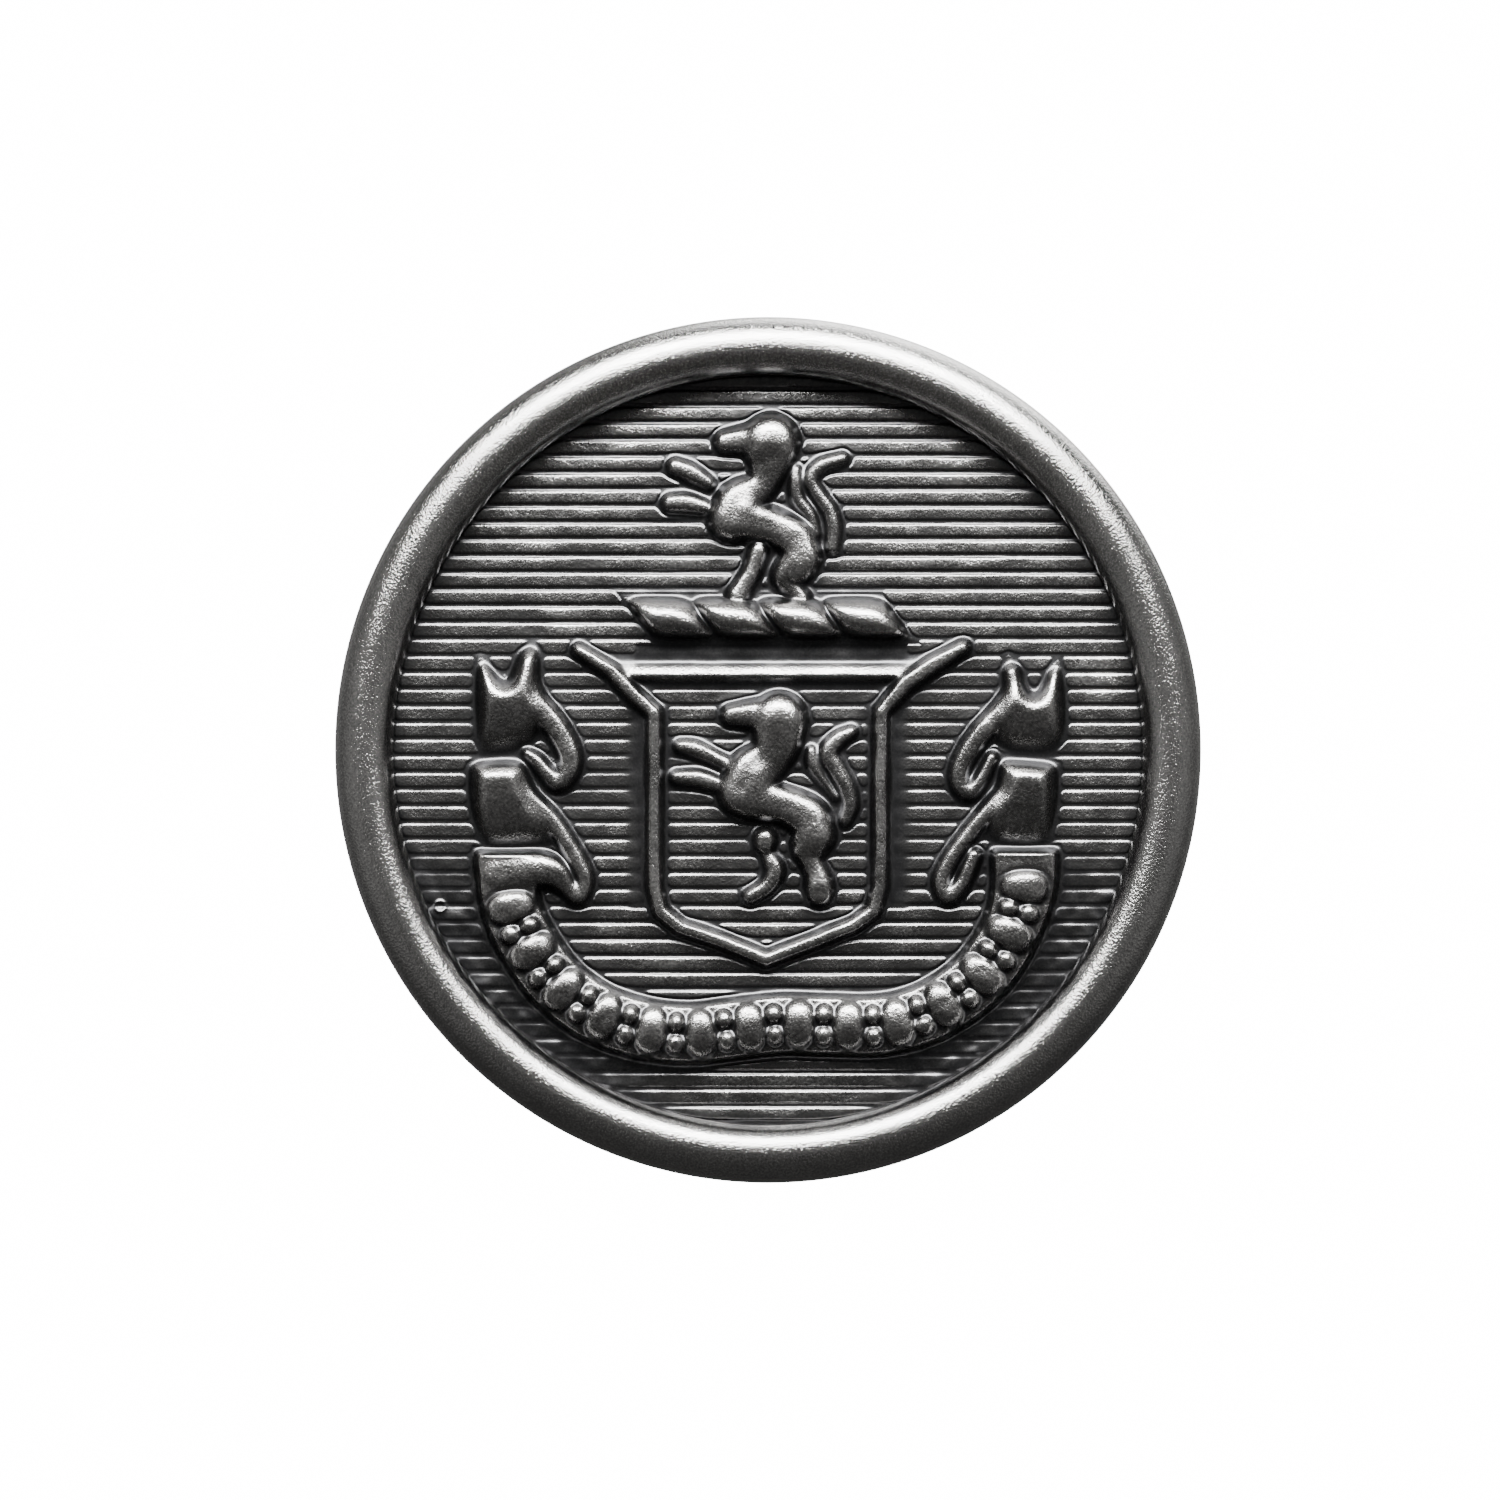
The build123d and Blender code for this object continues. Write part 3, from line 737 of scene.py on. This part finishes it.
# Soft lights that face the badge: direction, distance and size in metres, power in watts
softboxes = {
    "keySoftbox": {"direction": (0, -0.66, 0.75), "distance": 0.1, "size": (0.125, 0.042), "power": 0.95},
    "leftFill": {"direction": (-0.85, -0.5, 0.1), "distance": 0.4, "size": (0.5, 0.5), "power": 0.15},
    "rightFill": {"direction": (0.85, -0.5, 0.1), "distance": 0.4, "size": (0.5, 0.5), "power": 0.15},
    "backLight": {"direction": (0.3, 0.55, 0.8), "distance": 0.4, "size": (0.35, 0.35), "power": 2.4},
}
for name, box in softboxes.items():
    data = bpy.data.lights.new(name, "AREA")
    data.shape = "RECTANGLE"
    data.size, data.size_y = box["size"]
    data.energy = box["power"]
    lamp = bpy.data.objects.new(name, data)
    bpy.context.scene.collection.objects.link(lamp)
    direction = Vector(box["direction"])
    lamp.location = direction.normalized() * box["distance"]
    lamp.rotation_mode = "QUATERNION"
    lamp.rotation_quaternion = direction.to_track_quat("Z", "Y")

# World: white to the camera; what the metal mirrors is grey above and behind, and dark below
studio = {"behind": 0.3, "frontLow": 0.07, "frontHigh": 0.085, "white": 16.0}
world = bpy.data.worlds.new("studio")
bpy.context.scene.world = world
world.use_nodes = True
tree = world.node_tree
tree.nodes.clear()
direction = addNode(tree, "ShaderNodeTexCoord").outputs["Generated"]
axes = addNode(tree, "ShaderNodeSeparateXYZ", {"Vector": direction})
behind = addNode(
    tree, "ShaderNodeMapRange",
    {"Value": axes.outputs["Y"], "From Min": 0.0, "From Max": 0.7, "To Min": 0.0, "To Max": studio["behind"]},
)
above = addNode(
    tree, "ShaderNodeMapRange",
    {"Value": axes.outputs["Z"], "From Min": -0.5, "From Max": 0.3, "To Min": 0.0, "To Max": 1.0},
)
front = addNode(
    tree, "ShaderNodeMapRange",
    {"Value": axes.outputs["Z"], "From Min": -0.8, "From Max": 0.1,
     "To Min": studio["frontLow"], "To Max": studio["frontHigh"]},
)
glow = addNode(
    tree, "ShaderNodeMath", {0: behind.outputs[0], 1: above.outputs[0], 2: front.outputs[0]}, operation="MULTIPLY_ADD"
)
mirrored = addNode(tree, "ShaderNodeBackground", {"Color": (1, 1, 1, 1), "Strength": glow.outputs[0]})
white = addNode(tree, "ShaderNodeBackground", {"Color": (1, 1, 1, 1), "Strength": studio["white"]})
rayKind = addNode(tree, "ShaderNodeLightPath")
backdrop = addNode(
    tree, "ShaderNodeMixShader", {0: rayKind.outputs["Is Camera Ray"], 1: mirrored.outputs[0], 2: white.outputs[0]}
)
addNode(tree, "ShaderNodeOutputWorld", {"Surface": backdrop.outputs[0]})

# Pale paper floor well below the badge, kept out of the metal's reflections
ground = {"radius": 85 * mm, "depth": 30 * mm}
bm = bmesh.new()
bmesh.ops.create_circle(bm, cap_ends=True, segments=64, radius=ground["radius"])
floorMesh = bpy.data.meshes.new("floor")
bm.to_mesh(floorMesh)
bm.free()
floor = bpy.data.objects.new("floor", floorMesh)
floor.location = (0, 0, -ground["depth"])
bpy.context.scene.collection.objects.link(floor)
palePaper, tree = newMaterial("palePaper")
surface = addNode(tree, "ShaderNodeBsdfPrincipled", {"Base Color": linearColour("f2f2f0"), "Roughness": 0.9})
addNode(tree, "ShaderNodeOutputMaterial", {"Surface": surface.outputs[0]})
floorMesh.materials.append(palePaper)
floor.visible_glossy = False
print("studio done")
